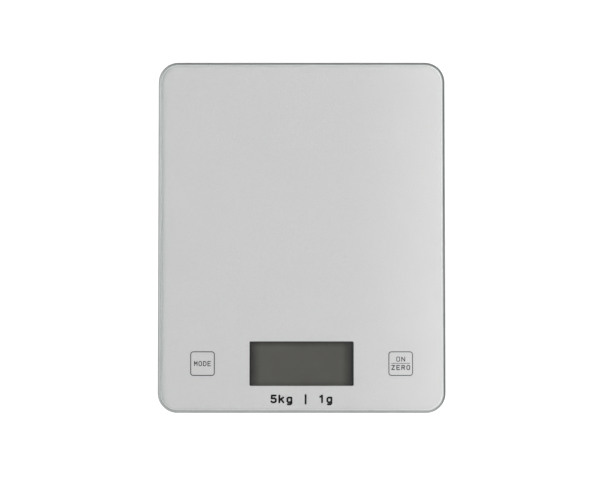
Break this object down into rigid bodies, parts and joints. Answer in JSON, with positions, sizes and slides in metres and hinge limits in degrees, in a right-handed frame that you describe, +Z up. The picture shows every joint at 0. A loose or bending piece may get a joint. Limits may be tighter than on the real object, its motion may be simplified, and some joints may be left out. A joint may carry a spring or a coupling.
{
  "type": "kitchen scale",
  "caption": "Slim kitchen scale: silver-backed glass plate with rounded corners on a grey tray with sprung feet, blank front display between two touch keys",
  "frame": {"origin": "middle of the footprint, on the surface that the scale stands on", "axes": "+Z up, -Y towards the user at the display end, +X to the user's right"},
  "size_m": [0.18, 0.22, 0.017],
  "materials": {
    "black_insulation": "black PVC insulation",
    "black_plastic": "black moulded plastic or epoxy",
    "board_laminate": "green solder mask over glass laminate",
    "can_metal": "drawn nickel-plated can",
    "capacitor_ceramic": "tan ceramic chips",
    "cell_plate_steel": "stamped alloy steel plate",
    "cell_steel": "nickel-plated steel coin cell",
    "display_film": "grey display film, blank and unlit",
    "display_glass": "thin display glass",
    "foam_tape": "white double-sided foam tape",
    "foot_plastic": "dark grey moulded ABS",
    "foot_rubber": "dark grey anti-slip rubber",
    "gauge_foil": "amber foil strain gauge",
    "grey_rubber": "layered conductive elastomer",
    "legend_ink": "dark grey screen print",
    "platform_glass": "clear toughened glass with a faint green edge, polished faces and a ground rounded edge",
    "red_insulation": "red PVC insulation",
    "silver_print": "fine silver metallic ink on the back of the glass",
    "spring_steel": "nickel-plated spring steel leaf",
    "tray_plastic": "light grey moulded ABS with a fine spark-eroded texture",
    "white_insulation": "white PVC insulation",
    "white_silicone": "white silicone sealant",
    "zinc_steel": "bright zinc-plated steel"
  },
  "bodies": {
    "housing": {"battery_contact_negative": "spring_steel", "battery_contact_positive": "spring_steel", "battery_lead_negative": "black_insulation", "battery_lead_positive": "red_insulation", "bonding_tape": "foam_tape", "cell_wires_black": "black_insulation", "cell_wires_red": "red_insulation", "cell_wires_white": "white_insulation", "chip_capacitors": "capacitor_ceramic", "chip_resistors": "black_plastic", "coin_cell": "cell_steel", "controller_blob": "black_plastic", "converter_chip": "black_plastic", "crystal": "can_metal", "foot_retainer_back_left": "foot_plastic", "foot_retainer_back_right": "foot_plastic", "foot_retainer_front_left": "foot_plastic", "foot_retainer_front_right": "foot_plastic", "gauge_sealant_back_left": "white_silicone", "gauge_sealant_back_right": "white_silicone", "gauge_sealant_front_left": "white_silicone", "gauge_sealant_front_right": "white_silicone", "glass_platform": "platform_glass", "housing_tray": "tray_plastic", "lcd_frame": "black_plastic", "lcd_glass": "display_glass", "lcd_polariser": "display_film", "lcd_reflector": "display_film", "legend_print": "legend_ink", "load_cell_back_left": "cell_plate_steel", "load_cell_back_right": "cell_plate_steel", "load_cell_front_left": "cell_plate_steel", "load_cell_front_right": "cell_plate_steel", "main_pcb": "board_laminate", "pcb_screws": "zinc_steel", "silver_back_print": "silver_print", "strain_gauge_back_left": "gauge_foil", "strain_gauge_back_right": "gauge_foil", "strain_gauge_front_left": "gauge_foil", "strain_gauge_front_right": "gauge_foil", "touch_electrode_mode": "board_laminate", "touch_electrode_zero": "board_laminate", "touch_leads": "black_insulation", "zebra_strip": "grey_rubber"},
    "battery_twist_cap": {"battery_cap": "tray_plastic"},
    "foot_front_left": {"foot_cap_front_left": "foot_plastic", "foot_pad_front_left": "foot_rubber"},
    "foot_front_right": {"foot_cap_front_right": "foot_plastic", "foot_pad_front_right": "foot_rubber"},
    "foot_back_left": {"foot_cap_back_left": "foot_plastic", "foot_pad_back_left": "foot_rubber"},
    "foot_back_right": {"foot_cap_back_right": "foot_plastic", "foot_pad_back_right": "foot_rubber"}
  },
  "joints": [
    {"name": "foot_float_front_left", "type": "slide", "parent": "housing", "child": "foot_front_left", "axis": [0, 0, 1], "range_m": [0, 0.0004], "stiffness_N_per_m": 20000, "deforming": ["load_cell_front_left"]},
    {"name": "foot_float_front_right", "type": "slide", "parent": "housing", "child": "foot_front_right", "axis": [0, 0, 1], "range_m": [0, 0.0004], "stiffness_N_per_m": 20000, "deforming": ["load_cell_front_right"]},
    {"name": "foot_float_back_left", "type": "slide", "parent": "housing", "child": "foot_back_left", "axis": [0, 0, 1], "range_m": [0, 0.0004], "stiffness_N_per_m": 20000, "deforming": ["load_cell_back_left"]},
    {"name": "foot_float_back_right", "type": "slide", "parent": "housing", "child": "foot_back_right", "axis": [0, 0, 1], "range_m": [0, 0.0004], "stiffness_N_per_m": 20000, "deforming": ["load_cell_back_right"]},
    {"name": "battery_cap_turn", "type": "hinge", "parent": "housing", "child": "battery_twist_cap", "pos_m": [0, -0.008, 0.0031], "axis": [0, 0, -1], "range_deg": [0, 30]}
  ]
}
